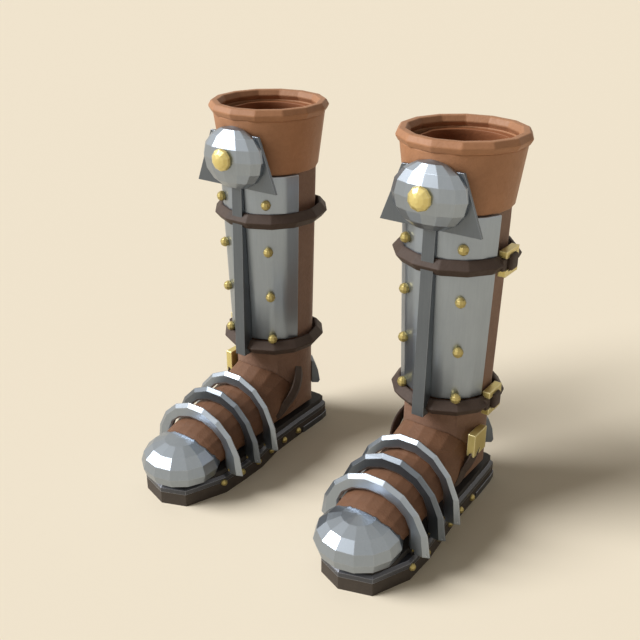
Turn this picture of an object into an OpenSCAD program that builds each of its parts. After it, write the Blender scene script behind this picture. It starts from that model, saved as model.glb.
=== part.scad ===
// A pair of iron-shod leather boots with steel lames, greaves and knee cops.
// Millimetres, +Z up, toes towards -Y. Each boot is built about its own leg
// axis; the left boot stands at +X and the right boot is its mirror image.

/* [Pair] */
// Distance between the two leg axes
pair_gap = 268; // [240:1:320]

/* [Sole] */
// Thickness of the leather outsole
outsole_h = 16.7; // [12:0.1:20]
// Thickness of the iron sole plate
plate_h = 8.8; // [6:0.1:11]
// Thickness of the welt between the iron plate and the upper
midsole_h = 6.8; // [4:0.1:9]
// Greatest half width of the sole across the ball of the foot
ball_w = 57; // [52:0.5:62]
// Half width of the sole at the waist and heel
heel_w = 45.5; // [42:0.5:49]
// Distance from the leg axis forward to the tip of the sole
toe_reach = 232.5; // [222:0.5:242]
// Distance from the leg axis back to the end of the sole
heel_reach = 64.5; // [61:0.5:70]
// Height of the iron on the heel
heel_iron_h = 9.3; // [6:0.1:12]
// How far the heel iron stands proud of the sole
heel_iron_proud = 1.5; // [1:0.1:3]
// Depth of the heel iron let into the sole
heel_iron_depth = 5; // [3:0.1:8]
// Bevel along the top edge of the iron plate
plate_bevel = 3; // [1:0.1:4]
// Number of sole rivets on each side
sole_rivet_n = 6; // [4:1:6]
// Spacing of the sole rivets
sole_rivet_step = 32.5; // [28:0.5:33]
// Radius of a sole rivet's head
sole_rivet_r = 4.7; // [3.5:0.1:5.5]

/* [Upper] */
// Thickness of the leather of foot and ankle
leather_t = 3.2; // [2.4:0.1:4]
// Half width of the vamp under the lames
vamp_w = 51.5; // [50:0.1:52.5]
// Outer radius of the leather at the ankle
ankle_r = 51.4; // [50:0.1:52]
// Height of the ankle pivot line above the floor
flex_z = 70; // [64:0.5:76]
// Radius of the seam between foot and leg about the pivot line
flex_r = 76; // [75.5:0.1:77]
// Gap left at that seam
flex_gap = 0.4; // [0.3:0.05:0.8]

/* [Leg] */
// Outer radius of the leather leg at the bottom of the greave
shaft_r = 53; // [52:0.1:54]
// Radius the leather leg gains from there to the top
shaft_flare = 7.4; // [6:0.1:8]
// Thickness of the leg leather
shaft_t = 3.5; // [2.5:0.1:4]
// Height of the greave's lower edge
greave_z0 = 161.5; // [161.5:0.5:168]
// Height of the greave's upper edge
greave_z1 = 383; // [376:0.5:383.5]
// Thickness of the greave at its lower edge
greave_t = 3.3; // [2.5:0.1:4]
// Thickness of the greave at its upper edge
greave_t_top = 4.8; // [4:0.1:5.2]
// Radius of a greave rivet's head
greave_rivet_r = 6.4; // [5:0.1:7]
// Width of the steel rib down the shin
rib_w = 15; // [11:0.5:18]

/* [Straps] */
// Height of the upper strap's middle
upper_strap_z = 326.5; // [320:0.5:331]
// Height of the lower strap's middle
lower_strap_z = 151.5; // [151:0.5:153]
// Width of a strap
strap_h = 19; // [16:0.5:20]
// Radius out to the ridge of the upper strap
strap_r = 73.5; // [72.5:0.1:76]
// Radius out to the ridge of the lower strap
low_strap_r = 68.5; // [68:0.1:71]
// Length of a buckle frame along the strap
buckle_l = 31.5; // [29:0.5:34]
// Height of a buckle frame
buckle_h = 29.4; // [27:0.2:31]
// Thickness of a buckle frame
buckle_t = 9.2; // [8:0.1:10]
// Radius of the bar on which a buckle frame turns
bar_r = 2.2; // [1.8:0.1:2.6]
// Running clearance round a bar or pin
bore_clear = 0.05; // [0.02:0.01:0.1]

/* [Cuff] */
// Height of the cuff's lower edge
cuff_z0 = 384; // [384:0.5:390]
// Height of the cuff's upper edge
cuff_z1 = 451; // [446:0.5:456]
// Outer radius of the cuff at its lower edge
cuff_r0 = 60.6; // [60.4:0.1:63]
// Outer radius of the cuff at its upper edge
cuff_r1 = 69.5; // [66:0.1:71]
// Radius to the ridge of the rolled rim
rim_r = 75; // [72:0.1:76]
// Half the thickness of the rolled rim
rim_t = 7.9; // [6:0.1:8]
// Radius of the opening at the top of the leg
mouth_r = 51; // [47:0.5:53]

/* [Knee] */
// Height of the knee plate's lower edge
knee_z0 = 369; // [365:0.5:373]
// Height of the knee plate
knee_h = 65.5; // [60:0.5:68]
// Half width of the knee plate at the bottom
knee_w0 = 61.5; // [56:0.5:64]
// Half width of the knee plate at the top
knee_w1 = 36.5; // [34:0.5:42]
// Thickness of the knee plate
knee_t = 3.9; // [3:0.1:3.9]
// Half width of the knee dome
dome_w = 46.5; // [42:0.5:48]
// Half height of the knee dome
dome_h = 38; // [34:0.5:39]
// How far the dome stands out from the plate
dome_d = 23; // [18:0.5:26]
// Thickness of the dome's steel
dome_t = 2.4; // [1.8:0.1:3]
// Radius of the brass stud's head
stud_r = 14; // [11:0.5:16]
// Radius of the brass stud's shank
stud_shank_r = 4; // [3:0.1:5]

/* [Lames] */
// Clearance between the leather and the inner edge of a lame
lame_gap = 2; // [2:0.1:4]
// Height of the rear lame above its pivots
lame_rear_h = 94; // [92:0.5:98]
// Height of the middle lame above its pivots
lame_middle_h = 86.6; // [85:0.5:90]
// Height of the front lame above its pivots
lame_front_h = 79; // [77:0.5:82]
// Width of a lame at its feet
lame_side = 24.2; // [21:0.2:25]
// Thickness of a lame along the foot
lame_t = 8; // [6:0.2:9]
// Spacing of the lames along the foot
lame_step = 36; // [33:0.5:38]
// Radius of a lame pivot pin
pin_r = 1.9; // [1.5:0.1:2.2]

/* [Hidden] */

// Levels above the floor
plate_z = outsole_h;
mid_z = plate_z + plate_h;
upper_z = mid_z + midsole_h;
// The bounding box is centred along Y on the origin
toe_cap_y = 193;
toe_cap_d = 48.7;
front_y = toe_cap_y + toe_cap_d;
back_y = max(rim_r, strap_r * cos(180 / 14), heel_reach + heel_iron_proud);
shift_y = (front_y - back_y) / 2;
// Small gap between pieces of one body that lie face to face
seat = 0.05;
// Pivot line of the lames
pin_z = upper_z - 0.6;
lame_z = 28;
// Half width of a lame at its feet
lame_w = 0.909 * vamp_w + lame_gap + lame_side;
rear_y = -88.3;
// Leather leg
leg_z0 = 150;
leg_top = cuff_z1 - seat;
brass = [0.75, 0.62, 0.28];
steel = [0.55, 0.57, 0.57];
dark = [0.34, 0.37, 0.38];
hide = [0.47, 0.31, 0.22];
hide_dark = [0.3, 0.22, 0.18];

function shaft_out(z) = shaft_r + shaft_flare * (z - leg_z0) / (cuff_z1 - leg_z0);
function greave_out(z) = shaft_out(z) + seat + greave_t
  + (greave_t_top - greave_t) * (z - greave_z0) / (greave_z1 - greave_z0);
function cuff_out(z) = cuff_r0 + (cuff_r1 - cuff_r0) * (z - cuff_z0) / (cuff_z1 - cuff_z0);

// Outline of the sole, drawn in by an amount d
function sole_line(d = 0) = [
  [0, -toe_reach + d * 1.1], [0.65 * ball_w - 0.8 * d, -toe_reach + 12 + 0.9 * d],
  [0.82 * ball_w - d, -198 + 0.4 * d], [ball_w - d, -174], [ball_w + 0.5 - d, -132],
  [heel_w + 4 - d, -47], [heel_w + 2.5 - d, -4], [heel_w - d, heel_reach - 17.5],
  [heel_w - 2 - d, heel_reach - 4 - 0.5 * d], [heel_w - 10 - 0.7 * d, heel_reach - d],
  [-heel_w + 10 + 0.7 * d, heel_reach - d], [-heel_w + 2 + d, heel_reach - 4 - 0.5 * d],
  [-heel_w + d, heel_reach - 16], [-heel_w + 0.5 + d, -4], [-heel_w - 0.5 + d, -58],
  [-ball_w + 4 + d, -98], [-ball_w + 4 + d, -133], [-ball_w + 5.4 + d, -168.5],
  [-0.72 * ball_w + d, -195.4 + 0.4 * d], [-0.54 * ball_w + 0.8 * d, -toe_reach + 12 + 0.9 * d]
];

// A closed solid through rows of points; each row runs counter-clockwise as
// seen from the row after it. With wrap the last row joins the first.
module skin(rows, wrap = false) {
  m = len(rows);
  n = len(rows[0]);
  last = wrap ? m - 1 : m - 2;
  sides = [for (k = [0:last]) for (i = [0:n - 1])
    let (a = k * n + i, b = ((k + 1) % m) * n + i,
         c = ((k + 1) % m) * n + (i + 1) % n, d = k * n + (i + 1) % n)
    each [[a, b, c], [a, c, d]]];
  ends = wrap ? [] : [[for (i = [0:n - 1]) i], [for (i = [n - 1:-1:0]) (m - 1) * n + i]];
  polyhedron(points = [for (r = rows) each r], faces = concat(sides, ends), convexity = 6);
}

// A profile of [radius, height] points, clockwise, swept round the Z axis in
// n flat facets to a full turn
module hoop(profile, n, a0 = 0) {
  skin([for (k = [0:n - 1]) let (a = a0 + 360 * k / n)
    [for (p = profile) [p[0] * cos(a), p[0] * sin(a), p[1]]]], wrap = true);
}

// The same over an arc from a0 to a1
module hoop_arc(profile, n, a0, a1) {
  skin([for (k = [0:n]) let (a = a0 + (a1 - a0) * k / n)
    [for (p = profile) [p[0] * cos(a), p[0] * sin(a), p[1]]]]);
}

// A solid of stacked rings, each [radius x, radius y, height]
module stack(rings, n, a0 = 0) {
  skin([for (r = rings) [for (i = [0:n - 1]) let (a = a0 + 360 * i / n)
    [r[0] * cos(a), r[1] * sin(a), r[2]]]]);
}

// Rows of the foot, less a thickness t: [distance along Y, half width, height
// of the top, height of the widest line, depth of the belly below that line]
function foot_rows(t) = [for (r = [
  [-222, 0.592, 52.3, 44, 17.5], [-206, 0.757, 65.8, 48, 24], [-186, 0.835, 75.3, 51, 29],
  [-160, 0.874, 83.5, 53.5, 31.5], [-124, 0.909, 93, 57, 33.5], [-88, 0.932, 99.3, 60, 35.5],
  [-62, 0.951, 112.3, 64, 39], [-40, 0.967, 125.3, 67, 42], [-14, 0.971, 130.3, 69, 43]])
  [r[0] < -200 ? r[0] + t : r[0], r[1] * vamp_w - t, r[2] - t, r[3], r[4] - t]];

// Section of the foot: half an ellipse over the widest line, a belly below it
function foot_ring(r, b) = let (
    u = asin(min(0.99, (r[3] - b) / r[4])),
    side = [for (i = [0:2]) -u * (3 - i) / 3])
  concat(
    [for (a = side) [-r[1] * cos(a), r[0], r[3] + r[4] * sin(a)]],
    [for (i = [0:10]) [-r[1] * cos(18 * i), r[0], r[3] + (r[2] - r[3]) * sin(18 * i)]],
    [for (i = [2:-1:0]) [r[1] * cos(side[i]), r[0], r[3] + r[4] * sin(side[i])]]);

module foot_form(t) {
  skin([for (r = foot_rows(t)) foot_ring(r, upper_z - (t > 0 ? 1 : 0))]);
}

// The sides of the heel, which draw in towards the sole, seen from the back
module heel_sides(t) {
  w = 0.98 * vamp_w + 1 - t;
  rotate([90, 0, 0]) linear_extrude(140, center = true) polygon(concat(
    [[-w, 200]],
    [for (i = [0:6]) let (a = 10 * i) [-w * cos(a), 68 - (43 - t) * sin(a)]],
    [for (i = [6:-1:0]) let (a = 10 * i) [w * cos(a), 68 - (43 - t) * sin(a)]],
    [[w, 200]]));
}

module ankle_tube(r, z0, z1) {
  stack([[r, r, z0], [r, r, z1]], 20, 90);
}

// Everything inside the seam between foot and leg
module flex_barrel(r) {
  translate([0, 0, flex_z]) rotate([0, 90, 0])
    cylinder(h = 200, r = r, center = true, $fn = 96);
}

module outsole() {
  color(hide_dark) difference() {
    linear_extrude(plate_z) polygon(sole_line());
    heel_iron_form(seat);
  }
}

// The iron runs round the heel as a U and reaches 60 mm forward of its end
module heel_iron_form(c) {
  translate([0, 0, c > 0 ? -1 : 0]) linear_extrude(heel_iron_h + (c > 0 ? 1 + c : 0))
    difference() {
      intersection() {
        polygon(sole_line(c > 0 ? -10 : -heel_iron_proud));
        translate([-60, heel_reach - 61 - c]) square([120, 80]);
      }
      polygon(sole_line(heel_iron_depth + c));
    }
}

module heel_iron() {
  color(dark) heel_iron_form(0);
}

module sole_plate() {
  color(dark) {
    translate([0, 0, plate_z]) linear_extrude(plate_h - plate_bevel)
      polygon(sole_line());
    top = plate_z + plate_h - plate_bevel;
    skin([[for (p = sole_line()) [p[0], p[1], top]],
      [for (p = sole_line(plate_bevel)) [p[0], p[1], mid_z]]]);
  }
}

module midsole() {
  color(hide_dark) translate([0, 0, mid_z]) linear_extrude(midsole_h) difference() {
    intersection() {
      polygon(sole_line(plate_bevel + 0.5));
      union() {
        translate([-80, -toe_cap_y + 30]) square([160, 300]);
        polygon([for (i = [0:17]) let (a = 90 + 20 * i)
          [toe_cap_w * 0.927 * cos(a), -toe_cap_y + toe_cap_d * 0.9 * sin(a)]]);
        translate([-toe_cap_w * 0.92, -toe_cap_y]) square([toe_cap_w * 1.84, 60]);
      }
    }
    // Room for the heads of the lame pins
    for (k = [0:2]) for (s = [-1, 1])
      translate([s * (pin_x0 + 8 - seat), rear_y - lame_step * k])
        square([16, 2 * pin_head_r + 0.4], center = true);
  }
}

// Where the side wall of the sole stands at a distance y along the foot
function wall_x(y, s) = s > 0
  ? lookup(y, [[-198, 0.82 * ball_w], [-174, ball_w], [-132, ball_w + 0.5], [-47, heel_w + 4],
      [-4, heel_w + 2.5], [heel_reach - 17.5, heel_w]])
  : lookup(y, [[-195.4, 0.72 * ball_w], [-168.5, ball_w - 5.4], [-133, ball_w - 4],
      [-98, ball_w - 4], [-58, heel_w + 0.5], [-4, heel_w - 0.5]]);

module dome_head(r, h) {
  stack([[r, r, 0], [r * 0.92, r * 0.92, h * 0.45], [r * 0.6, r * 0.6, h * 0.85],
    [r * 0.2, r * 0.2, h]], 10);
}

module sole_rivets() {
  color(brass) difference() {
    for (k = [0:sole_rivet_n - 1]) for (s = [-1, 1]) {
      y = -171 + sole_rivet_step * k;
      slope = (wall_x(y + 4, s) - wall_x(y - 4, s)) / 8;
      translate([s * (wall_x(y, s) - 1), y, plate_z - 0.5 - 1.4 * k]) rotate([0, 0, -s * atan(slope)])
        rotate([0, s * 90, 0]) dome_head(sole_rivet_r, sole_rivet_r + 1);
    }
    translate([0, 0, -1]) linear_extrude(mid_z + 1) polygon(sole_line(-seat));
  }
}

module lame_pins() {
  color(brass) for (k = [0:2]) for (s = [-1, 1]) lame_pin(rear_y - lame_step * k, s);
}

// A pin through the foot of a lame, with its head against the leather
pin_x0 = vamp_w + 0.56;
pin_head_r = 3.9;
pin_head_h = 1.8;
module lame_pin(y, s) {
  translate([s * (pin_x0 + 0.5), y, pin_z]) rotate([0, s * 90, 0])
    cylinder(h = lame_w - 4 - pin_x0, r = pin_r, $fn = 32);
  translate([s * pin_x0, y, pin_z]) rotate([0, s * 90, 0]) dome_head(pin_head_r, pin_head_h);
}

// One measure k of the foot's rows at a distance y along it
function foot_at(y, k) = lookup(y, [for (r = foot_rows(0)) [r[0], r[k]]]);

// Outer edge of a lame in the direction a, and its inner edge, which follows the
// leather at a clearance and runs straight down from the widest line
function lame_outer(h, a) = [lame_w * cos(a), lame_z + h * sin(a)];
function lame_inner(y, a) = let (b = 90 + 1.2 * (a - 90), w = foot_at(y + 4, 1) + lame_gap,
    line = foot_at(y, 3), top = foot_at(y + 7, 2) + lame_gap)
  a < 10 || a > 170 ? [sign(cos(a)) * w, lame_z] : [w * cos(b), line + (top - line) * sin(b)];

// Ridge, bevel, flat and inner slope of a lame, as [share of the depth, half thickness]
function lame_row(h, y, a) = let (o = lame_outer(h, a), n = lame_inner(y, a),
    q = [[0, 0.15], [0.28, 1], [0.87, 1], [1, 0.6], [1, -0.6], [0.87, -1], [0.28, -1], [0, -0.15]])
  [for (p = q) [o[0] + (n[0] - o[0]) * p[0], y + p[1] * lame_t / 2, o[1] + (n[1] - o[1]) * p[0]]];

module lame(k, h, shade) {
  y = rear_y - lame_step * k;
  color(shade) difference() {
    union() {
      skin([for (i = [0:9]) lame_row(h, y, 20 * i)]);
      for (s = [-1, 1]) translate([s > 0 ? lame_w - 17 : -lame_w + 9, y - lame_t / 2, lame_z + 0.2])
        cube([8, lame_t, 9]);
    }
    translate([-100, y - 20, mid_z - 10]) cube([200, 40, lame_z - mid_z + 10.5]);
    // Clear of the midsole and of the pin heads
    translate([-pin_x0 - 3, y - 20, mid_z - 10]) cube([2 * pin_x0 + 6, 40, upper_z - mid_z + 11.2]);
    for (s = [-1, 1]) translate([s * 44, y, pin_z]) rotate([0, s * 90, 0])
      cylinder(h = pin_x0 + pin_head_h + 0.6 - 44, r = pin_head_r + 0.4, $fn = 48);
    for (s = [-1, 1]) translate([s * pin_x0, y, pin_z]) rotate([0, s * 90, 0])
      cylinder(h = lame_w - 3 - pin_x0, r = pin_r + bore_clear, $fn = 32);
  }
}
module lame_rear() { lame(0, lame_rear_h, steel); }
module lame_middle() { lame(1, lame_middle_h, dark); }
module lame_front() { lame(2, lame_front_h, steel); }

module vamp() {
  color(hide) difference() {
    foot_form(0);
    foot_form(leather_t);
    ankle_tube(ankle_r + seat, 0, 200);
    translate([-100, -14, 0]) cube([200, 100, 200]);
  }
}

module quarters() {
  color(hide) difference() {
    intersection() {
      ankle_tube(ankle_r, upper_z, 180);
      flex_barrel(flex_r - flex_gap / 2);
      heel_sides(0);
    }
    intersection() {
      ankle_tube(ankle_r - leather_t, upper_z - 1, 181);
      heel_sides(leather_t);
    }
    foot_form(leather_t);
  }
}

// A cup round the heel, raised like a pan off the leather and closed at its ends
module heel_cup() {
  r = ankle_r + seat;
  prof = [[r, 68], [r, 101.5], [r + 3.6, 101.5], [r + 8.8, 88], [r + 11.5, 72], [r + 9.3, 68]];
  hollow = [[r - 1, 70.6], [r - 1, 97], [r + 5.8, 87], [r + 8.4, 73], [r + 7.6, 70.6]];
  color(steel) difference() {
    hoop_arc(prof, 6, 36, 144);
    hoop_arc(hollow, 6, 40, 140);
  }
}

// An egg with flat facets, cut off level with the top of the midsole
toe_cap_w = 51.4;
toe_cap_h = 32.4;
toe_cap_z = 43.9;
module toe_form(g) {
  translate([0, -toe_cap_y, 0])
    stack(concat([[toe_cap_w * 0.925 - g, toe_cap_d * 0.925 - g, upper_z + seat - (g > 0 ? 1 : 0)]],
      [for (a = [0:22.5:90]) let (c = max(cos(a), 0.05))
        [(toe_cap_w - g) * c, (toe_cap_d - g) * c, toe_cap_z + (toe_cap_h - g) * sin(a)]]), 14, 90);
}

module toe_cap() {
  color(steel) difference() {
    toe_form(0);
    foot_form(-seat);
    toe_form(2.6);
  }
}

// The ankle strap is a tilted band that leaves the leather on either side
strap_tilt = 52;
ankle_strap_r = 59.3;
ankle_mid = [0, -25, 87];
module ankle_band(c) {
  r1 = ankle_strap_r + c;
  r0 = ankle_strap_r - 6 - c;
  h = 10 + c;
  translate(ankle_mid) rotate([strap_tilt, 0, 0])
    hoop([[r0, -h * 0.84], [r0, h * 0.84], [r0 + 2.4 + 3 * c, h], [r1, 0], [r0 + 2.4 + 3 * c, -h]], 16, 0);
}

module ankle_strap() {
  color(hide_dark) difference() {
    intersection() {
      ankle_band(0);
      flex_barrel(flex_r - 2);
    }
    ankle_tube(ankle_r + seat, 0, 200);
    foot_form(-seat);
    translate([-100, -100, 0]) cube([200, 200, upper_z + seat]);
  }
}

// A brass plate threaded on the ankle strap
module ankle_buckle() {
  color(brass) difference() {
    translate([49.2, -35, 86]) cube([9.4, 30, 29.5]);
    ankle_band(0.35);
    ankle_tube(ankle_r + seat, 0, 200);
  }
}

// Radius of the strap's loop round a buckle bar
knuckle_r = 3.7;
// How fast the leg widens with height
core_slope = 0.034;

// Section of a calf strap between its inner ridge r0 and outer ridge r1
function strap_line(r0, r1, z) = let (m = r1 - 8, q = max(m - 3, r0 + 0.3), h = strap_h / 2)
  [[r0, z], [q, z + h], [m, z + h], [r1, z], [m, z - h], [q, z - h]];

// A buckle frame is centred beside the leg, x0 out from its axis
function bar_y() = -buckle_l / 2 + 3.8;
function frame_x(r1) = r1 - 14.2;

module buckle_frame(z, x0) {
  y0 = -buckle_l / 2;
  color(brass) difference() {
    translate([x0, y0, z - buckle_h / 2]) cube([buckle_t, buckle_l, buckle_h]);
    translate([x0 - 1, y0 + 7.6, z - 9.6]) cube([buckle_t + 2, buckle_l - 13.6, 19.2]);
    translate([x0 - 1, y0 - 1, z - 7]) difference() {
      cube([buckle_t + 2, 9, 14]);
      translate([1 + buckle_t / 2, 1 + 3.8, -1]) cylinder(h = 16, r = bar_r, $fn = 32);
    }
  }
}

module buckle_tab(z, x0) {
  color(hide_dark) translate([x0 + 1, -buckle_l / 2 + 7.8, z - 9.4])
    cube([buckle_t + 2.6, buckle_l - 14, 18.8]);
}

module calf_strap(z, core, r1, x0) {
  y0 = -buckle_l / 2;
  bx = x0 + buckle_t / 2;
  color(hide_dark) difference() {
    union() {
      difference() {
        hoop(strap_line(core, r1, z), 14, 90 + 180 / 14);
        translate([40, y0 - 2.8, z - 40]) cube([60, buckle_l + 3.6, 80]);
      }
      translate([bx, bar_y(), z - 6.6]) cylinder(h = 13.2, r = knuckle_r, $fn = 40);
      translate([bx - knuckle_r, y0 - 5, z - 6.6]) cube([2 * knuckle_r, 8.8, 13.2]);
    }
    stack([for (q = [-14, 14]) [core + seat + q * core_slope, core + seat + q * core_slope, z + q]], 20, 90);
    translate([bx, bar_y(), z - 30]) cylinder(h = 60, r = bar_r + bore_clear, $fn = 32);
    greave_rivet_forms(0.2);
  }
}

module upper_strap() {
  difference() {
    calf_strap(upper_strap_z, greave_out(upper_strap_z), strap_r, frame_x(strap_r));
    rib_form(seat);
  }
}

module lower_strap() {
  calf_strap(lower_strap_z, shaft_out(lower_strap_z), low_strap_r, frame_x(low_strap_r));
}

module shaft() {
  z0 = flex_z + 30;
  color(hide) difference() {
    stack([[shaft_out(z0), shaft_out(z0), z0], [shaft_out(leg_top), shaft_out(leg_top), leg_top]], 20, 90);
    stack([[shaft_out(z0) - shaft_t, shaft_out(z0) - shaft_t, z0 - 1],
      [shaft_out(leg_top) - shaft_t, shaft_out(leg_top) - shaft_t, leg_top - 12]], 20, 90);
    translate([0, 0, leg_top - 13]) cylinder(h = 20, r = mouth_r, $fn = 80);
    flex_barrel(flex_r + flex_gap / 2);
  }
}

module greave() {
  in0 = shaft_out(greave_z0) + seat;
  in1 = shaft_out(greave_z1) + seat;
  prof = [[in0, greave_z0], [in1, greave_z1], [greave_out(greave_z1) - 1.4, greave_z1],
    [greave_out(greave_z1 - 2), greave_z1 - 2], [greave_out(greave_z0 + 1.5), greave_z0 + 1.5],
    [greave_out(greave_z0) - 1.2, greave_z0]];
  color(steel) hoop_arc(prof, 8, -162, -18);
}

// Rivets in two columns down the greave
rivet_rows = [348.5, 286.7, 225, 165];
// Half the distance between the two columns of rivets
rivet_x = 35.5;
module greave_rivet_forms(c) {
  for (z = rivet_rows) for (s = [-1, 1]) {
    r = greave_out(z) + 2.6;
    translate([s * rivet_x, -sqrt(r * r - rivet_x * rivet_x), z])
      sphere(r = greave_rivet_r + c, $fn = 10);
  }
}
module greave_rivets() {
  color(brass) difference() {
    greave_rivet_forms(0);
    stack([for (z = [100, greave_z1]) [greave_out(z) + seat, greave_out(z) + seat, z]], 20, 90);
  }
}

function rib_front(z) = 72.2 - 5.4 * (z - 142) / 227;
module rib_form(c) {
  z0 = 142;
  z1 = knee_z0 - 0.3;
  w = rib_w / 2 + c;
  b = 0.06 - c;
  // Below the greave the rib's back stays in line with it
  skin([
    [[-w, -rib_front(z0) - c, z0], [w, -rib_front(z0) - c, z0],
      [w, -greave_out(z0) - b, z0], [-w, -greave_out(z0) - b, z0]],
    [[-w, -rib_front(z1) - c, z1], [w, -rib_front(z1) - c, z1],
      [w, -greave_out(z1) - b, z1], [-w, -greave_out(z1) - b, z1]]]);
}

module rib() {
  color(dark) difference() {
    rib_form(0);
    hoop([for (p = strap_line(shaft_r - 4, low_strap_r, lower_strap_z))
      [p[0] + (p[0] > shaft_r ? seat : 0), p[1] + (p[1] > lower_strap_z ? seat : p[1] < lower_strap_z ? -seat : 0)]],
      14, 90 + 180 / 14);
  }
}

module cuff() {
  color(hide) difference() {
    hoop([[shaft_out(cuff_z0) + seat, cuff_z0], [shaft_out(cuff_z1) + seat, cuff_z1],
      [cuff_r1, cuff_z1], [cuff_r0, cuff_z0]], 20, 90);
    knee_plate_form(0.1);
    dome_form(0.1);
  }
}

module rim() {
  m = rim_r - rim_t;
  z = cuff_z1 + seat + rim_t * sin(60);
  color(hide) hoop([for (k = [0:5]) let (a = 180 - 60 * k)
    [m + rim_t * cos(a), z + rim_t * sin(a)]], 14, 90);
}

knee_front = 67.6;
module knee_plate_form(c) {
  translate([0, -knee_front + knee_t + c, 0]) rotate([90, 0, 0])
    linear_extrude(knee_t + 2 * c)
    polygon([[-knee_w0 - c, knee_z0 - c], [knee_w0 + c, knee_z0 - c],
      [knee_w1 + c, knee_z0 + knee_h + c], [-knee_w1 - c, knee_z0 + knee_h + c]]);
}

dome_z = 405.5;
module knee_plate() {
  color(dark) difference() {
    knee_plate_form(0);
    knee_bore();
  }
}

module knee_bore() {
  translate([0, 0, dome_z + 2]) rotate([90, 0, 0])
    cylinder(h = 120, r = stud_shank_r + seat, $fn = 32);
}

module dome_rings(w, d, h) {
  translate([0, -knee_front - seat, dome_z])
    stack([for (a = [-90:22.5:90]) let (c = max(cos(a), 0.06)) [w * c, d * c, h * sin(a)]], 14, 90);
}

module dome_form(c) {
  intersection() {
    dome_rings(dome_w + c, dome_d + c, dome_h + c);
    translate([-100, -knee_front - seat - 100 + c, 300]) cube([200, 100, 200]);
  }
}

module knee_dome() {
  color(steel) difference() {
    dome_form(0);
    dome_rings(dome_w - dome_t, dome_d - dome_t, dome_h - dome_t);
    knee_bore();
  }
}

module knee_stud() {
  z = dome_z + 2;
  color(brass) {
    difference() {
      translate([0, -knee_front - dome_d + 3.4, z]) rotate([90, 0, 0])
        stack([[stud_r * 0.8, stud_r * 0.8, 0], [stud_r, stud_r, 4], [stud_r * 0.92, stud_r * 0.92, 7.4],
          [stud_r * 0.6, stud_r * 0.6, 10.8], [stud_r * 0.2, stud_r * 0.2, 12.4]], 10, 90);
      dome_rings(dome_w + seat, dome_d + seat, dome_h + seat);
    }
    translate([0, -knee_front + knee_t, z]) rotate([90, 0, 0])
      cylinder(h = dome_d + knee_t + 2, r = stud_shank_r, $fn = 32);
  }
}

module upper_buckle() { buckle_frame(upper_strap_z, frame_x(strap_r)); }
module upper_tab() { buckle_tab(upper_strap_z, frame_x(strap_r)); }
module lower_buckle() { buckle_frame(lower_strap_z, frame_x(low_strap_r)); }
module lower_tab() { buckle_tab(lower_strap_z, frame_x(low_strap_r)); }

module left() { translate([pair_gap / 2, shift_y, 0]) children(); }
module right() { translate([-pair_gap / 2, shift_y, 0]) mirror([1, 0, 0]) children(); }

left() outsole();  // left_outsole
left() heel_iron();  // left_heel_iron
left() sole_plate();  // left_sole_plate
left() sole_rivets();  // left_sole_rivets
left() lame_pins();  // left_lame_pins
left() midsole();  // left_midsole
left() vamp();  // left_vamp
left() quarters();  // left_quarters
left() heel_cup();  // left_heel_cup
left() toe_cap();  // left_toe_cap
left() lame_front();  // left_lame_front
left() lame_middle();  // left_lame_middle
left() lame_rear();  // left_lame_rear
left() ankle_strap();  // left_ankle_strap
left() ankle_buckle();  // left_ankle_buckle
left() shaft();  // left_shaft
left() greave();  // left_greave
left() greave_rivets();  // left_greave_rivets
left() rib();  // left_rib
left() upper_strap();  // left_upper_strap
left() lower_strap();  // left_lower_strap
left() cuff();  // left_cuff
left() rim();  // left_rim
left() upper_buckle();  // left_upper_buckle
left() upper_tab();  // left_upper_tab
left() lower_buckle();  // left_lower_buckle
left() lower_tab();  // left_lower_tab
left() knee_plate();  // left_knee_plate
left() knee_dome();  // left_knee_dome
left() knee_stud();  // left_knee_stud
right() outsole();  // right_outsole
right() heel_iron();  // right_heel_iron
right() sole_plate();  // right_sole_plate
right() sole_rivets();  // right_sole_rivets
right() lame_pins();  // right_lame_pins
right() midsole();  // right_midsole
right() vamp();  // right_vamp
right() quarters();  // right_quarters
right() heel_cup();  // right_heel_cup
right() toe_cap();  // right_toe_cap
right() lame_front();  // right_lame_front
right() lame_middle();  // right_lame_middle
right() lame_rear();  // right_lame_rear
right() ankle_strap();  // right_ankle_strap
right() ankle_buckle();  // right_ankle_buckle
right() shaft();  // right_shaft
right() greave();  // right_greave
right() greave_rivets();  // right_greave_rivets
right() rib();  // right_rib
right() upper_strap();  // right_upper_strap
right() lower_strap();  // right_lower_strap
right() cuff();  // right_cuff
right() rim();  // right_rim
right() upper_buckle();  // right_upper_buckle
right() upper_tab();  // right_upper_tab
right() lower_buckle();  // right_lower_buckle
right() lower_tab();  // right_lower_tab
right() knee_plate();  // right_knee_plate
right() knee_dome();  // right_knee_dome
right() knee_stud();  // right_knee_stud
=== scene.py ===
"""A pair of iron-shod leather boots with steel lames, greaves and knee cops,
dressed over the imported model."""
import math

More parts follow.
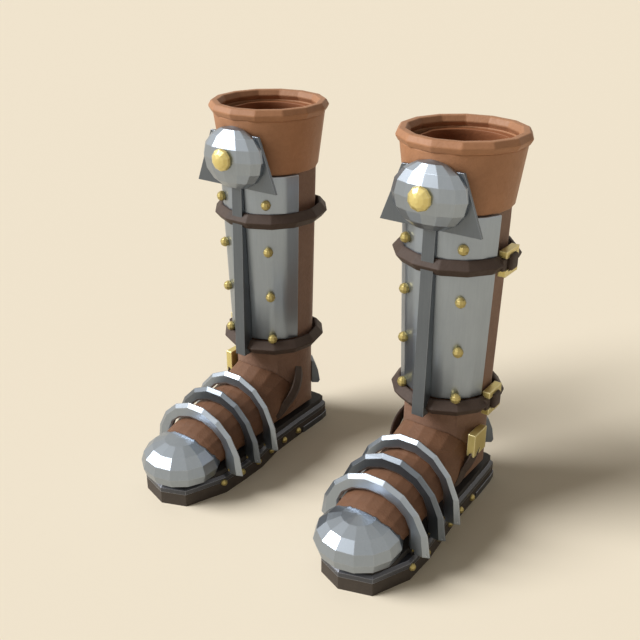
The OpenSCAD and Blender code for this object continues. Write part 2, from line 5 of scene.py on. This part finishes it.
import bmesh
import bpy
import numpy as np
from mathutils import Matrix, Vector


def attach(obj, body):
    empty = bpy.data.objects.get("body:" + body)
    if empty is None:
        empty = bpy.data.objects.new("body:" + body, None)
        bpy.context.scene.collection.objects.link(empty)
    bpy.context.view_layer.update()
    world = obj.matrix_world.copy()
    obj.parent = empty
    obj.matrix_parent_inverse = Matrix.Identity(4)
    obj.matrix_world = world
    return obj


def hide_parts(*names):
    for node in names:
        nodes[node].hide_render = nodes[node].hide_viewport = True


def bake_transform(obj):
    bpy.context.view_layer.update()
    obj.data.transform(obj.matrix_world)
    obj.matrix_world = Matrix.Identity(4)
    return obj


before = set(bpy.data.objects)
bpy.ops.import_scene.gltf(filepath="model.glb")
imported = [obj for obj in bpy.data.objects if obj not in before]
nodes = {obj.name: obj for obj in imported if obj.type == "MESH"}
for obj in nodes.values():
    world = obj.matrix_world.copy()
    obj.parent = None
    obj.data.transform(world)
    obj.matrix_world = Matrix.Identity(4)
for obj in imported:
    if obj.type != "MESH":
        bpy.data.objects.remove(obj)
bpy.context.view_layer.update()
BOOTS = {"left": 1, "right": -1}


# The soles: a thick leather outsole with a worn, dark edge, and the narrower
# welt above the iron. Cut from stiff hide and blackened with age.
def paint(code):
    """A colour written as six hex digits, turned from screen values to linear light."""
    parts = [int(code[i:i + 2], 16) / 255 for i in (0, 2, 4)]
    return [p / 12.92 if p <= 0.04045 else ((p + 0.055) / 1.055) ** 2.4 for p in parts] + [1]


def add(tree, kind, values=None, **settings):
    """Adds one shader node; values are set on its sockets, or linked where they are sockets."""
    made = tree.nodes.new(kind)
    for key, value in settings.items():
        setattr(made, key, value)
    for key, value in (values or {}).items():
        if isinstance(value, bpy.types.NodeSocket):
            tree.links.new(value, made.inputs[key])
        else:
            made.inputs[key].default_value = value
    return made


def reckon(tree, work, *values, clamped=False):
    """One Math node that does the named work on values or sockets; gives its result's socket."""
    made = add(tree, "ShaderNodeMath", dict(enumerate(values)), operation=work, use_clamp=clamped)
    return made.outputs[0]


def spread(tree, value, **limits):
    """One Map Range node over a socket, from and to the named limits; gives its result's socket."""
    named = {key.replace("_", " ").title(): limit for key, limit in limits.items()}
    return add(tree, "ShaderNodeMapRange", {"Value": value, **named}).outputs[0]


def mixed(tree, share, low, high):
    """A colour between low and high by the share; gives its socket."""
    return add(tree, "ShaderNodeMix", {0: share, 6: low, 7: high}, data_type="RGBA").outputs[2]


def effect(name, inputs, outputs):
    """An empty node group with the named inputs and outputs, and its two end nodes."""
    tree = bpy.data.node_groups.new(name, "ShaderNodeTree")
    for label, kind, value in inputs:
        tree.interface.new_socket(label, in_out="INPUT", socket_type=kind).default_value = value
    for label, kind in outputs:
        tree.interface.new_socket(label, in_out="OUTPUT", socket_type=kind)
    return tree, tree.nodes.new("NodeGroupInput"), tree.nodes.new("NodeGroupOutput")


# Edge: how sharply the surface turns within a small radius, as a mask, and a
# normal rounded over that radius.
edge_mask, inlet, outlet = effect("edge_mask", [("Radius", "NodeSocketFloat", 0.0008)],
                                  [("Edge", "NodeSocketFloat"), ("Rounded", "NodeSocketVector")])
bevel = add(edge_mask, "ShaderNodeBevel", {"Radius": inlet.outputs["Radius"]}, samples=6)
flat = add(edge_mask, "ShaderNodeNewGeometry")
turn = add(edge_mask, "ShaderNodeVectorMath", {0: bevel.outputs[0], 1: flat.outputs["Normal"]},
           operation="DOT_PRODUCT")
sharp = spread(edge_mask, turn.outputs["Value"], from_min=0.995, from_max=0.86)
edge_mask.links.new(sharp, outlet.inputs["Edge"])
edge_mask.links.new(bevel.outputs[0], outlet.inputs["Rounded"])

# Hide: mottled colour over hand-sized patches, creases and a fine pebbled grain.
hide_grain, inlet, outlet = effect(
    "hide_grain", [("Place", "NodeSocketVector", (0, 0, 0)), ("Creases", "NodeSocketFloat", 0.5)],
    [("Tone", "NodeSocketFloat"), ("Height", "NodeSocketFloat")])
place = inlet.outputs["Place"]
patch = add(hide_grain, "ShaderNodeTexNoise",
            {"Vector": place, "Scale": 26.0, "Detail": 4.0, "Roughness": 0.6}).outputs["Fac"]
scuff = add(hide_grain, "ShaderNodeTexNoise",
            {"Vector": place, "Scale": 170.0, "Detail": 5.0, "Distortion": 0.6}).outputs["Fac"]
pebble = add(hide_grain, "ShaderNodeTexVoronoi", {"Vector": place, "Scale": 620.0}, feature="SMOOTH_F1")
crease = add(hide_grain, "ShaderNodeTexNoise",
             {"Vector": place, "Scale": 60.0, "Detail": 3.0, "Distortion": 2.2})
ridge = reckon(hide_grain, "SUBTRACT", crease.outputs["Fac"], 0.5)
ridge = spread(hide_grain, reckon(hide_grain, "ABSOLUTE", ridge), from_max=0.06)
folds = reckon(hide_grain, "MULTIPLY", ridge, inlet.outputs["Creases"])
tone = reckon(hide_grain, "MULTIPLY_ADD", patch, 0.62, -0.06)
tone = reckon(hide_grain, "MULTIPLY_ADD", scuff, 0.5, tone, clamped=True)
height = reckon(hide_grain, "MULTIPLY_ADD", pebble.outputs["Distance"], 0.5, folds)
height = reckon(hide_grain, "MULTIPLY_ADD", scuff, 0.6, height)
hide_grain.links.new(tone, outlet.inputs["Tone"])
hide_grain.links.new(height, outlet.inputs["Height"])


def hide(name, light, dark, worn, rough, creases=0.5, bump=0.0004, round_to=0.0014):
    """Leather: its colour goes from dark to light with the grain and to worn along its edges."""
    stuff = bpy.data.materials.new(name)
    stuff.use_nodes = True
    tree = stuff.node_tree
    skin = tree.nodes["Principled BSDF"]
    at = add(tree, "ShaderNodeTexCoord")
    grain = add(tree, "ShaderNodeGroup", node_tree=hide_grain)
    tree.links.new(at.outputs["Object"], grain.inputs["Place"])
    grain.inputs["Creases"].default_value = creases
    edge = add(tree, "ShaderNodeGroup", node_tree=edge_mask)
    edge.inputs["Radius"].default_value = round_to
    body = mixed(tree, grain.outputs["Tone"], paint(dark), paint(light))
    edge_share = reckon(tree, "MULTIPLY", edge.outputs["Edge"], 0.4)
    full = mixed(tree, edge_share, body, paint(worn))
    gloss = spread(tree, grain.outputs["Tone"], to_min=rough + 0.1, to_max=rough - 0.08)
    relief = add(tree, "ShaderNodeBump",
                 {"Height": grain.outputs["Height"], "Normal": edge.outputs["Rounded"],
                  "Strength": 0.5, "Distance": bump})
    tree.links.new(full, skin.inputs["Base Color"])
    tree.links.new(gloss, skin.inputs["Roughness"])
    tree.links.new(relief.outputs[0], skin.inputs["Normal"])
    skin.inputs["Specular IOR Level"].default_value = 0.35
    return stuff


def finish_nodes(stuff, *names):
    """Gives the named CAD nodes of each boot their material."""
    for boot in BOOTS:
        for name in names:
            for place in nodes[f"{boot}_{name}"].material_slots:
                place.material = stuff


sole_hide = hide("sole_hide", "4a423b", "332d29", "6a5f54", 0.7, creases=0.3)
finish_nodes(sole_hide, "outsole")
welt_hide = hide("welt_hide", "2e2b2a", "211f1f", "4c4640", 0.65, creases=0.2)
finish_nodes(welt_hide, "midsole")


# Iron and steel: a forged sole plate with a filed bevel, a heel iron, and the
# brighter plates of foot, shin and knee. Hammered, then polished with a cloth.
# Their wear is a cloudy tone, fine brush marks along one way, and small pits.
steel_wear, inlet, outlet = effect("steel_wear", [("Place", "NodeSocketVector", (0, 0, 0))],
                                   [("Tone", "NodeSocketFloat"), ("Height", "NodeSocketFloat")])
place = inlet.outputs["Place"]
cloud = add(steel_wear, "ShaderNodeTexNoise",
            {"Vector": place, "Scale": 18.0, "Detail": 5.0, "Roughness": 0.65}).outputs["Fac"]
drawn = add(steel_wear, "ShaderNodeMapping", {"Vector": place, "Scale": (1.0, 1.0, 0.07)})
brush = add(steel_wear, "ShaderNodeTexNoise",
            {"Vector": drawn.outputs[0], "Scale": 520.0, "Detail": 3.0}).outputs["Fac"]
pits = add(steel_wear, "ShaderNodeTexVoronoi", {"Vector": place, "Scale": 160.0}, feature="F1")
pit = spread(steel_wear, pits.outputs["Distance"], from_max=0.22)
tone = reckon(steel_wear, "MULTIPLY_ADD", cloud, 0.8, -0.15)
tone = reckon(steel_wear, "MULTIPLY_ADD", brush, 0.5, tone, clamped=True)
height = reckon(steel_wear, "MULTIPLY_ADD", pit, 0.35, brush)
steel_wear.links.new(tone, outlet.inputs["Tone"])
steel_wear.links.new(height, outlet.inputs["Height"])


def metal(name, light, dark, glint_and_wear, rough, shine, round_to=0.0009, bump=0.00006):
    """Metal: cloudy between two tones, finely brushed, and lighter along its edges, partly rubbed wear and
    partly a painted highlight where the bevels would catch the light.
    """
    stuff = bpy.data.materials.new(name)
    stuff.use_nodes = True
    tree = stuff.node_tree
    skin = tree.nodes["Principled BSDF"]
    at = add(tree, "ShaderNodeTexCoord")
    wear = add(tree, "ShaderNodeGroup", node_tree=steel_wear)
    tree.links.new(at.outputs["Object"], wear.inputs["Place"])
    edge = add(tree, "ShaderNodeGroup", node_tree=edge_mask)
    edge.inputs["Radius"].default_value = round_to
    body = mixed(tree, wear.outputs["Tone"], paint(dark), paint(light))
    # Sharp edges go towards the edge colour: rubbed wear, and a painted highlight standing in for light
    # caught on the bevels
    edge_share = reckon(tree, "MULTIPLY", edge.outputs["Edge"], 0.65)
    full = mixed(tree, edge_share, body, paint(glint_and_wear))
    gloss = spread(tree, wear.outputs["Tone"], to_min=rough + 0.06, to_max=rough - 0.05)
    relief = add(tree, "ShaderNodeBump",
                 {"Height": wear.outputs["Height"], "Normal": edge.outputs["Rounded"],
                  "Strength": 0.3, "Distance": bump})
    tree.links.new(full, skin.inputs["Base Color"])
    tree.links.new(gloss, skin.inputs["Roughness"])
    tree.links.new(relief.outputs[0], skin.inputs["Normal"])
    skin.inputs["Metallic"].default_value = shine
    return stuff


# The third colour of each metal is its edge colour: rubbed wear with a painted bevel highlight
bright_steel = metal("bright_steel", "9fa8b3", "8e97a2", "e0e6ec", 0.33, shine=0.92)
grey_steel = metal("grey_steel", "70777f", "5d636b", "a8b0bc", 0.35, shine=0.88)
sole_iron = metal("sole_iron", "56585f", "404248", "b4b8c4", 0.34, shine=0.6, round_to=0.0014)
finish_nodes(sole_iron, "sole_plate", "heel_iron")
finish_nodes(bright_steel, "toe_cap", "lame_front", "lame_rear", "knee_dome")
finish_nodes(grey_steel, "heel_cup", "lame_middle", "rib", "knee_plate")


# Brass: rivets, lame pins, buckles and the knee stud. Cast, filed and left to
# dull in the hollows while the edges stay bright; that edge brightness is also a painted highlight on the
# bevels.
brass = metal("brass_fittings", "e6d690", "ccb86e", "fdf6cc", 0.3, shine=0.5, round_to=0.002)
finish_nodes(brass, "ankle_buckle", "upper_buckle", "lower_buckle", "knee_stud")
rivet_brass = metal("rivet_brass", "bfae70", "9a8a50", "f0e6b4", 0.36, shine=0.6, round_to=0.0004)
finish_nodes(rivet_brass, "sole_rivets", "lame_pins", "greave_rivets")


# The vamp: one piece of brown hide moulded over an arched last, from the toe
# to the ankle, and let into the welt along both sides.
STANCE = 0.134  # half the distance between the two legs' axes, in metres
SET_BACK = 0.08335  # how far the legs' axes lie behind the middle of the pair, in metres


def swept(name, boot, rings, closed, sharp, soften=0.0):
    """A mesh over a stack of closed loops of points in millimetres about one leg's axis: each loop
    is joined to the next, and the last to the first where closed, or else both ends get a face.
    The right boot's points are the left's mirrored in x. Edges sharper than sharp degrees stay,
    and are rounded to soften metres."""
    rings = np.asarray(rings, float)
    count, loop = rings.shape[:2]
    points = rings.reshape(-1, 3) * 0.001
    points[:, 0] = BOOTS[boot] * (points[:, 0] + STANCE)
    points[:, 1] += SET_BACK
    index = np.arange(count * loop).reshape(count, loop)
    after = np.roll(index, -1, axis=0) if closed else index[1:]
    here = index if closed else index[:-1]
    faces = np.stack([here, after, np.roll(after, -1, 1), np.roll(here, -1, 1)], -1).reshape(-1, 4).tolist()
    if not closed:
        faces += [index[0].tolist(), index[-1].tolist()]
    mesh = bpy.data.meshes.new(name)
    mesh.from_pydata(points.tolist(), [], faces)
    work = bmesh.new()
    work.from_mesh(mesh)
    bmesh.ops.recalc_face_normals(work, faces=work.faces)
    work.to_mesh(mesh)
    work.free()
    mesh.polygons.foreach_set("use_smooth", np.ones(len(mesh.polygons), bool))
    mesh.set_sharp_from_angle(angle=math.radians(sharp))
    piece = bpy.data.objects.new(name, mesh)
    bpy.context.scene.collection.objects.link(piece)
    if soften:
        round_off = piece.modifiers.new("round_off", "BEVEL")
        round_off.width, round_off.segments = soften, 2
        round_off.limit_method, round_off.angle_limit = "ANGLE", math.radians(sharp)
        round_off.harden_normals = True
    return piece


def dress(piece, stuff, replaced, body):
    """Gives a new piece its material and its body, and hides the CAD nodes it stands for."""
    piece.data.materials.append(stuff)
    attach(piece, body)
    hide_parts(*replaced)


# Sections of the last from the toe back: distance along the foot, half width,
# height of the top, height of the widest line, and depth of the belly below it.
LAST = np.array([[-222, 30.5, 52.3, 44, 17.5],
                 [-206, 39, 65.8, 48, 24],
                 [-186, 43, 75.3, 51, 29],
                 [-160, 45, 83.5, 53.5, 31.5],
                 [-124, 46.8, 93, 57, 33.5],
                 [-88, 48, 99.3, 60, 35.5],
                 [-62, 49, 112.3, 64, 39],
                 [-40, 49.8, 125.3, 67, 42],
                 [-14, 50, 130.3, 69, 43]])
WELT = 32.36  # height of the welt's upper face
TOE = LAST[0, 0]
LEATHER = 3.2  # its thickness, in the vamp and the leg
ANKLE_WALL = 51.5  # radius of the round wall where the vamp ends over the instep
SIDE_END = -15  # where it ends along the welt
BELLY_TURN = 60  # degrees of turn given to the belly at either side


def last_at(y, thin=0.0):
    """The last at a distance y along the foot, less the leather's thickness: half width, rise of the
    arch over the widest line, height of that line, and depth of the belly below it."""
    wide, top, line, belly = (np.interp(y, LAST[:, 0], LAST[:, k]) for k in range(1, 5))
    return wide - thin, top - thin - line, line, belly - thin


def vamp_wall(thin, turn, part):
    """Half an ellipse over the widest line, turn from 0 to 180 degrees, and a further turn at either
    end for the belly down to the welt. y runs by part from the toe to where the section meets the
    ankle's round wall, which a few rounds of trial settle."""
    arch = np.radians(np.clip(turn, 0, 180))
    under = (np.maximum(-turn, 0) + np.maximum(turn - 180, 0)) / BELLY_TURN
    y = TOE + thin + part * 150
    for _ in range(12):
        wide, rise, line, belly = last_at(y, thin)
        down = np.arcsin(np.minimum((line - WELT) / belly, 0.99)) * under
        x = wide * np.cos(arch) * np.cos(down)
        stop = -np.sqrt(np.maximum(ANKLE_WALL ** 2 - x ** 2, SIDE_END ** 2))
        y = TOE + thin + part * (np.where(under > 0, SIDE_END, stop) - TOE - thin)
    return np.stack([x, y, line + rise * np.sin(arch) - belly * np.sin(down)], -1)


vamp_hide = hide("vamp_hide", "7c573f", "5d412f", "98745a", 0.56)
for boot in BOOTS:
    over_arch = [18 * k for k in range(10, -1, -1)]
    round_foot = [240, 220, 200] + over_arch + [-20, -40, -60]
    turn, part = np.meshgrid(round_foot, np.linspace(0, 1, 9), indexing="ij")
    outer, inner = vamp_wall(0.0, turn, part), vamp_wall(LEATHER, turn, part)
    rings = np.concatenate([outer, inner[:, ::-1]], 1)
    vamp = swept(f"{boot}_vamp_leather", boot, rings, False, sharp=4, soften=0.002)
    dress(vamp, vamp_hide, [f"{boot}_vamp"], f"{boot}_foot")


# The leg: a tube of hide from the heel to the mouth, let into the foot with an
# arched opening, turned in to a thick lip at the top and lined with lighter hide.
LEG_TOP = 450.9
LEG_COLUMNS = 96  # rows of points up the leg, evenly round it
LIP_FROM = 439  # height where the wall thickens to the lip
LIP_BORE = 51.2  # radius inside the lip
PUCKER_AT = 132  # height of the shallow pucker over the ankle
HEEL_LINE, HEEL_DEPTH = 68, 43  # height of the heel's widest line, and of its curve below that
OPENING_HALF, OPENING_FROM = 36, -14  # half the width of the opening to the foot, and its back edge
TUCK = 2.2  # how far the leg's edge lies under the vamp's outer surface


def leg_radius(z):
    """Outer radius of the leather: even up to the ankle, then wider in two straight runs to the mouth."""
    return np.interp(z, [124, 150, 451], [50.75, 52.3, 59.6])


def heel_width(z, thin=0.0):
    """Half width of the heel, which draws in as part of an ellipse below its widest line."""
    return (51.47 - thin) * np.sqrt(1 - (np.maximum(HEEL_LINE - z, 0) / (HEEL_DEPTH - thin)) ** 2)


leg_hide = hide("leg_hide", "8a6957", "695042", "a07f6c", 0.6, creases=0.8)
lining_hide = hide("lining_hide", "9a6240", "7c4c30", "b08060", 0.6)
near_ankle, up_the_leg, lip = np.linspace(0, 0.27, 26), np.linspace(0.3, 0.965, 16), [0.985, 1.0]
heights = np.concatenate([near_ankle, up_the_leg, lip])
for boot in BOOTS:
    round_leg = np.radians(np.arange(LEG_COLUMNS) * 360 / LEG_COLUMNS)[:, None]
    x, y = 51 * np.cos(round_leg), 51 * np.sin(round_leg)
    wide, rise, line, _belly = last_at(y)
    over_foot = line + rise * np.sqrt(np.clip(1 - (x / wide) ** 2, 0, 1)) - TUCK
    bottom = np.where((y < OPENING_FROM) & (np.abs(x) < OPENING_HALF), over_foot, WELT)
    z = bottom + (LEG_TOP - bottom) * heights
    pucker = 0.5 * np.exp(-((z - PUCKER_AT) / 5) ** 2) * np.sin(round_leg * 3 + 1)
    radius = leg_radius(z) + pucker
    inside = np.where(z > LIP_FROM, LIP_BORE, radius - LEATHER)
    # The heel's half width holds x in, which is the radius times the cosine
    across = np.maximum(np.abs(np.cos(round_leg)), 0.1)
    radius = np.minimum(radius, heel_width(z) / across)
    inside = np.minimum(inside, heel_width(z, LEATHER) / across)
    wall = np.concatenate([np.stack([radius, z], -1), np.stack([inside, z], -1)[:, ::-1]], 1)
    reach, tall = wall[..., 0], wall[..., 1]
    rings = np.stack([reach * np.cos(round_leg), reach * np.sin(round_leg), tall], -1)
    leg = swept(f"{boot}_leg_leather", boot, rings, True, sharp=50)
    leg.data.materials.append(leg_hide)
    leg.data.materials.append(lining_hide)
    row = np.arange(len(leg.data.polygons)) % wall.shape[1]
    lined = (row >= len(heights) - len(lip)) & (row < len(heights) + len(up_the_leg))
    leg.data.polygons.foreach_set("material_index", lined.astype(np.int32))
    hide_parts(f"{boot}_quarters", f"{boot}_shaft")
    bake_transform(leg)


# The cuff and its rolled rim: a wide band of lighter hide round the top of the
# leg, and over it the mouth's edge folded round a core.
CUFF_SIDES, RIM_SIDES = 20, 14
ROLL_RADIUS, ROLL_HEIGHT, ROLL_HALF = 67.1, 457.89, 7.9  # its middle, and half its thickness


def flats(turn, sides, corner):
    """How much nearer the flats of a polygon are than its corners, in the direction turn."""
    step = 360 / sides
    return np.cos(np.radians(step / 2)) / np.cos(np.radians((turn - corner) % step - step / 2))


def around(profile, turns, sides, corner):
    """Loops of one profile of [radius, height] points carried round the leg, with a polygon's flats."""
    turns = np.asarray(turns, float)
    profile = np.asarray(profile, float)
    reach = profile[None, :, 0] * flats(turns, sides, corner)[:, None]
    angle = np.radians(turns)[:, None]
    tall = np.broadcast_to(profile[None, :, 1], reach.shape)
    return np.stack([reach * np.cos(angle), reach * np.sin(angle), tall], -1)


cuff_hide = hide("cuff_hide", "b2805d", "8f6548", "cda380", 0.55)
for boot in BOOTS:
    band = [[59.2, 384], [60.5, 452.5], [68.6, 452.5], [69.4, 450], [60.9, 386], [60.2, 384.2]]
    hoops = around(band, np.arange(CUFF_SIDES) * 360 / CUFF_SIDES, CUFF_SIDES, 90)
    cuff = swept(f"{boot}_cuff_leather", boot, hoops, True, sharp=24, soften=0.0008)
    dress(cuff, cuff_hide, [f"{boot}_cuff"], f"{boot}_leg")
    six = np.radians(180 - 60 * np.arange(6))
    roll = np.stack([ROLL_RADIUS + ROLL_HALF * np.cos(six), ROLL_HEIGHT + ROLL_HALF * np.sin(six)], -1)
    hoops = around(roll, 90 + np.arange(RIM_SIDES) * 360 / RIM_SIDES, RIM_SIDES, 90)
    rim = swept(f"{boot}_rim_leather", boot, hoops, True, sharp=15, soften=0.0014)
    dress(rim, cuff_hide, [f"{boot}_rim"], f"{boot}_leg")


# The calf straps: dark bands of doubled hide with a raised ridge, drawn round
# the leg, folded round the buckle's bar at the front end and cut off behind it.
# Each strap's height, the radius under it, the radius of its ridge, and how far
# out the buckle's bar stands.
CALF_STRAPS = {"upper": (326.5, 62.0, 73.5, 63.9), "lower": (151.5, 53.1, 68.5, 58.9)}
STRAP_SIDES = 14
STRAP_CORNER = 90 + 180 / STRAP_SIDES
STRAP_FROM, STRAP_TO = 13.6, 344.6  # the two ends, as directions round the leg
RIDGE_OUT, HALF_BAND = 8, 9.5  # how far the ridge stands out, and half the band's height
BAR_Y, FOLD_END = -11.95, -21  # the buckle's bar, and where the fold runs into the band
FOLD_RADIUS, HALF_FOLD = 3.7, 6.6  # round the bar, and half the fold's height
strap_hide = hide("strap_hide", "4b3c34", "352a25", "69564a", 0.64, creases=0.35)
for boot in BOOTS:
    for which, (z, core, ridge_r, bar_x) in CALF_STRAPS.items():
        mid = ridge_r - RIDGE_OUT
        back = max(mid - 3, core + 0.3)
        section = [[core + 0.1, z], [back, z + HALF_BAND], [mid, z + HALF_BAND], [ridge_r, z],
                   [mid, z - HALF_BAND], [back, z - HALF_BAND]]
        corners = np.sort((np.arange(1, STRAP_SIDES) * 360 / STRAP_SIDES + STRAP_CORNER) % 360)
        corners = corners[(corners > STRAP_FROM) & (corners < STRAP_TO)]
        turns = np.concatenate([[STRAP_FROM], corners, [STRAP_TO]])
        band = around(section, turns, STRAP_SIDES, STRAP_CORNER)
        strap = swept(f"{boot}_{which}_strap_leather", boot, band, False, sharp=15, soften=0.0011)
        curl = np.radians(np.linspace(0, 180, 13))
        bend = np.stack([bar_x + FOLD_RADIUS * np.cos(curl), BAR_Y + FOLD_RADIUS * np.sin(curl)], -1)
        ends = [[[bar_x + side * FOLD_RADIUS, FOLD_END]] for side in (1, -1)]
        outline = np.concatenate([ends[0], bend, ends[1]])
        stations = [[np.append(p, h) for p in outline] for h in (z - HALF_FOLD, z + HALF_FOLD)]
        fold = swept(f"{boot}_{which}_strap_fold", boot, stations, False, sharp=30, soften=0.0005)
        dress(strap, strap_hide, [f"{boot}_{which}_strap"], f"{boot}_leg")
        dress(fold, strap_hide, [f"{boot}_{which}_strap"], f"{boot}_leg")


# The strap ends: each shows through its buckle's window as a short, plump
# tongue of the same dark hide.
TONGUE_Y, TONGUE_WIDE, TONGUE_TALL = 0.8, 8.7, 9.35  # middle, and half sizes
TONGUE_ROOT = 4.6  # how far inside the bar it starts
TONGUE_POINTS = 32
SQUARENESS = 7  # power of the rounded square that its outline follows
TONGUE_STEPS = ((1, 0.4), (1.6, 0), (9, 0), (11.4, 0.2), (12.3, 1.0), (12.8, 2.6))  # way out, inset
for boot in BOOTS:
    for which, (z, _core, _ridge_r, bar_x) in CALF_STRAPS.items():
        lean = np.radians(np.arange(TONGUE_POINTS) * 360 / TONGUE_POINTS)
        square = np.abs(np.cos(lean)) ** SQUARENESS + np.abs(np.sin(lean)) ** SQUARENESS
        bulge = square ** (-1 / SQUARENESS)
        loops = []
        for out, inset in TONGUE_STEPS:
            y = TONGUE_Y + (TONGUE_WIDE - inset) * bulge * np.cos(lean)
            up = z + (TONGUE_TALL - inset) * bulge * np.sin(lean)
            loops.append(np.stack([np.full_like(y, bar_x - TONGUE_ROOT + out), y, up], -1))
        tongue = swept(f"{boot}_{which}_strap_end", boot, loops, False, sharp=40)
        dress(tongue, strap_hide, [f"{boot}_{which}_tab"], f"{boot}_{which}_buckle_flap")


# The ankle strap: a narrow ridged band of dark hide on either side of the ankle.
# It slopes forward and down from the leg over the foot's side, pressed into both.
SLOPE = math.radians(52)
PASS_Y, PASS_Z = -25, 87  # the middle of the sloping ring that the strap follows
LEG_SKIN = 49.6  # radius just under the leg's surface
for boot in BOOTS:
    for flank, arc in (("outer", np.linspace(-60, 34, 15)), ("inner", np.linspace(146, 240, 15))):
        band = np.array([[53.3, -8.4], [53.3, 8.4], [55.7, 10], [59.3, 0], [55.7, -10]])
        angle = np.radians(arc)[:, None]
        across, along = band[None, :, 0] * np.cos(angle), band[None, :, 0] * np.sin(angle)
        up = np.broadcast_to(band[None, :, 1], across.shape)
        loops = np.stack([across, PASS_Y + along * math.cos(SLOPE) - up * math.sin(SLOPE),
                          PASS_Z + along * math.sin(SLOPE) + up * math.cos(SLOPE)], -1)
        far = np.maximum(np.hypot(loops[..., 0], loops[..., 1]), 1)
        wide, rise, line, belly = last_at(loops[..., 1])
        off_line = loops[..., 2] - line
        deep = np.hypot(loops[..., 0] / wide, off_line / np.where(off_line > 0, rise, belly))
        sunk = (far < LEG_SKIN) & (loops[..., 2] > 34)
        loops[..., :2] *= np.where(sunk, LEG_SKIN / far, 1)[..., None]
        # The band's back lies just under the foot's skin, its shoulders and ridge above it
        least = np.array([0.97, 0.97, 1.01, 1.07, 1.01])[None]
        low = (deep < least) & (loops[..., 1] < -30)
        loops[..., 0] *= np.where(low, least / np.maximum(deep, 0.7), 1)
        strap = swept(f"{boot}_ankle_strap_{flank}", boot, loops, False, sharp=18, soften=0.0009)
        dress(strap, strap_hide, [f"{boot}_ankle_strap"], f"{boot}_foot")


# The greave: a curved steel plate over the shin, rolled to the leg, with its
# edges filed round. The flats between its forging lines are smoothed over.
GREAVE_FROM, GREAVE_TO = -162, -18  # its two side edges, as directions round the leg
GREAVE_SIDES = 20
for boot in BOOTS:
    turns = np.linspace(GREAVE_FROM, GREAVE_TO, 33)
    plate = [[53.33, 161.5], [58.78, 383], [61.9, 383], [63.1, 382.4], [63.58, 381],
             [56.65, 163.2], [56.1, 162], [55.3, 161.5]]
    hoops = around(plate, turns, GREAVE_SIDES, 90)
    greave = swept(f"{boot}_greave_steel", boot, hoops, False, sharp=32, soften=0.0006)
    dress(greave, bright_steel, [f"{boot}_greave"], f"{boot}_leg")


# The room: a plain cream floor, one broad soft sun high on the left in front,
# and a weak pale surround that fills the shadows and shows brighter in the metal.
def flat_sheet(name, half):
    """A square of the floor, half wide each way, level with the soles."""
    mesh = bpy.data.meshes.new(name)
    corners = [(-half, -half, 0), (half, -half, 0), (half, half, 0), (-half, half, 0)]
    mesh.from_pydata(corners, [], [(0, 1, 2, 3)])
    sheet = bpy.data.objects.new(name, mesh)
    bpy.context.scene.collection.objects.link(sheet)
    return sheet


floor = flat_sheet("floor", 40)
cream = bpy.data.materials.new("cream_floor")
cream.use_nodes = True
cream_skin = cream.node_tree.nodes["Principled BSDF"]
cream_skin.inputs["Base Color"].default_value = paint("f3e8d3")
cream_skin.inputs["Roughness"].default_value = 0.9
cream_skin.inputs["Specular IOR Level"].default_value = 0.1
floor.data.materials.append(cream)

scene = bpy.context.scene
scene.view_settings.view_transform = "Standard"
world = bpy.data.worlds.new("pale_room")
scene.world = world
world.use_nodes = True
room = world.node_tree
sky = room.nodes["Background"]
sky.inputs["Color"].default_value = paint("f0e9dc")
path = add(room, "ShaderNodeLightPath")
seen = reckon(room, "ADD", path.outputs["Is Camera Ray"], path.outputs["Is Glossy Ray"])
seen = reckon(room, "ADD", seen, path.outputs["Is Transmission Ray"], clamped=True)
room.links.new(spread(room, seen, to_min=0.245, to_max=0.98), sky.inputs["Strength"])

light = bpy.data.lights.new("key", "SUN")
light.energy, light.angle = 4.15, 0.58
falls = Vector((0.627, 0.532, -0.567))
key = bpy.data.objects.new("key", light)
key.rotation_euler = falls.to_track_quat("-Z", "Y").to_euler()
scene.collection.objects.link(key)

view = bpy.data.cameras.new("photo_view")
view.lens, view.sensor_width = 50, 36
camera = bpy.data.objects.new("photo_view", view)
round_by, raised_by = math.radians(35.606), math.radians(24.761)
level = math.cos(raised_by)
towards = Vector((-math.sin(round_by) * level, math.cos(round_by) * level, -math.sin(raised_by)))
camera.location = (0.5614, -0.77935, 0.6754)
camera.rotation_euler = towards.to_track_quat("-Z", "Y").to_euler()
scene.collection.objects.link(camera)
scene.camera = camera
